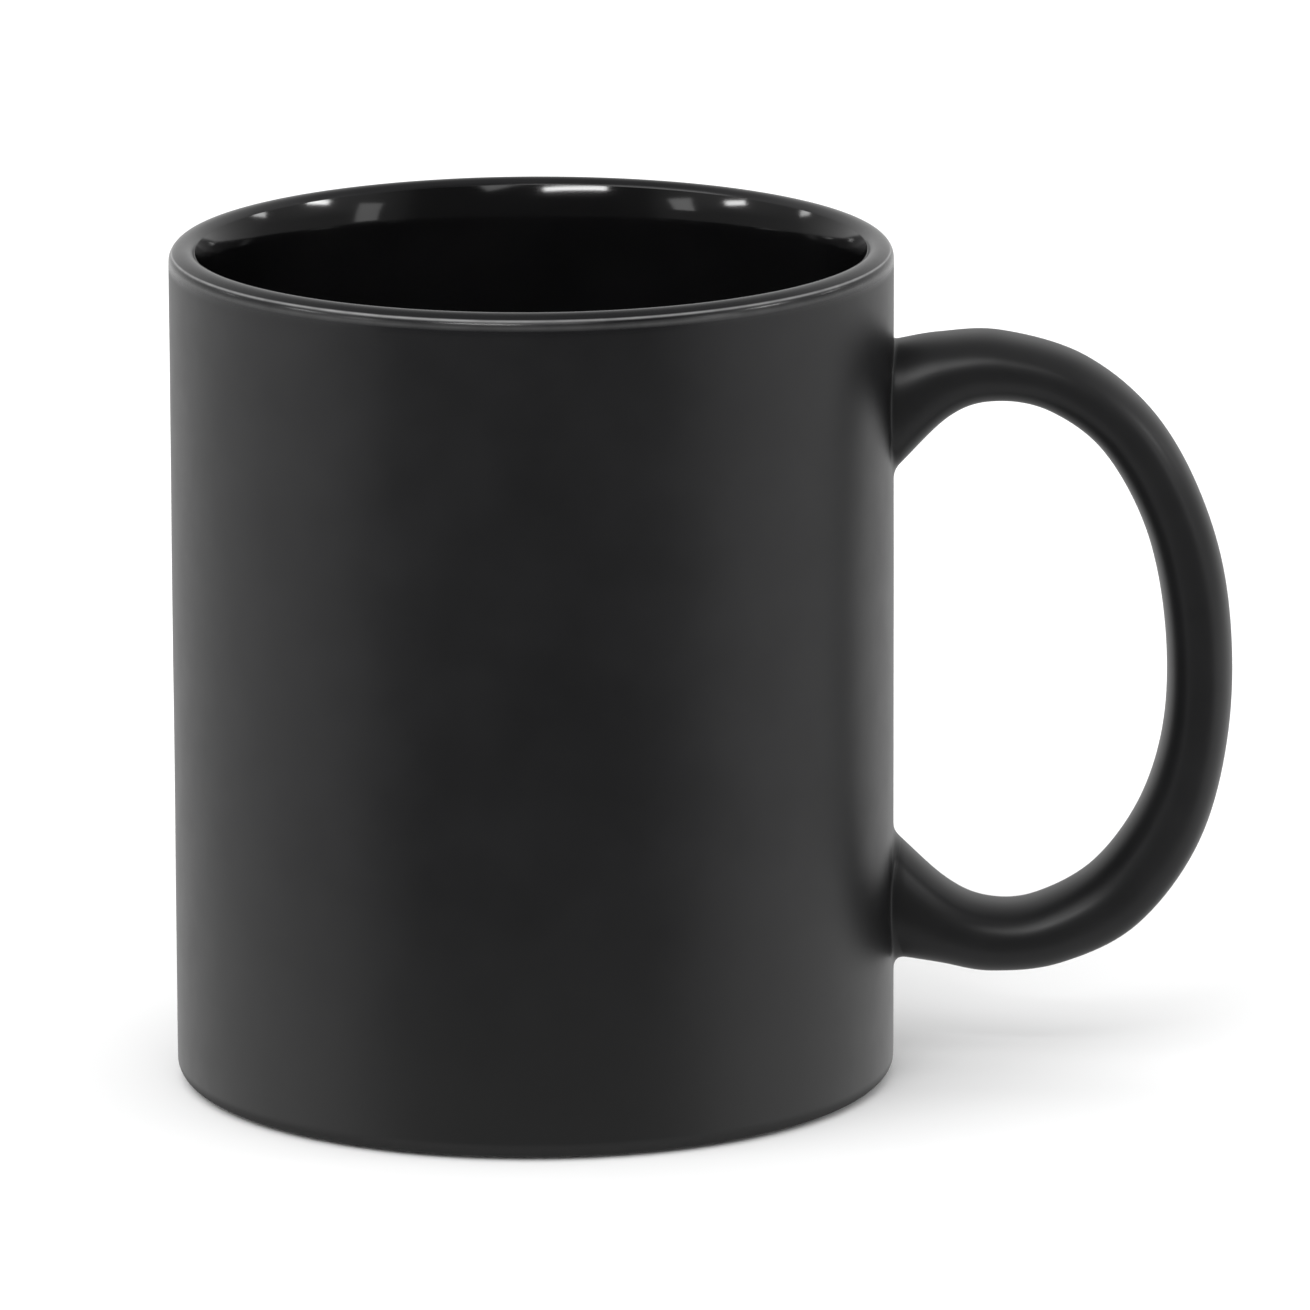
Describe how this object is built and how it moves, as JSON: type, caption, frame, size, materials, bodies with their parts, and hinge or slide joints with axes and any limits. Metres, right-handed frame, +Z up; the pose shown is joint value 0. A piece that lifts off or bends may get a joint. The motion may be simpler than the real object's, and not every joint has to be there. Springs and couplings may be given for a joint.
{
  "type": "ceramic mug",
  "caption": "Straight-walled ceramic mug with a round loop handle, matte black glaze outside and over the rim, gloss black glaze inside.",
  "frame": {"origin": "middle of the mug's footprint, handle included, on the surface it stands on; the cup's axis is at x = -19.3 mm", "axes": "+Z up along the cup's axis, +X from the cup towards the handle, +Y across; the XZ plane is the mug's mirror plane"},
  "size_m": [0.1206, 0.082, 0.0965],
  "materials": {
    "matte_glaze": "matte to satin black glaze",
    "gloss_glaze": "gloss black glaze",
    "bare_clay": "bare fired stoneware, seen only on the foot ring",
    "handle_clay": "fired stoneware under the glaze",
    "slip": "fired slip under the glaze"
  },
  "bodies": {
    "root": {"cup_body": "bare_clay", "handle": "handle_clay", "upper_slip_joint": "slip", "lower_slip_joint": "slip", "outer_glaze": "matte_glaze", "handle_glaze": "matte_glaze", "base_glaze": "matte_glaze", "inner_glaze": "gloss_glaze"}
  },
  "joints": []
}
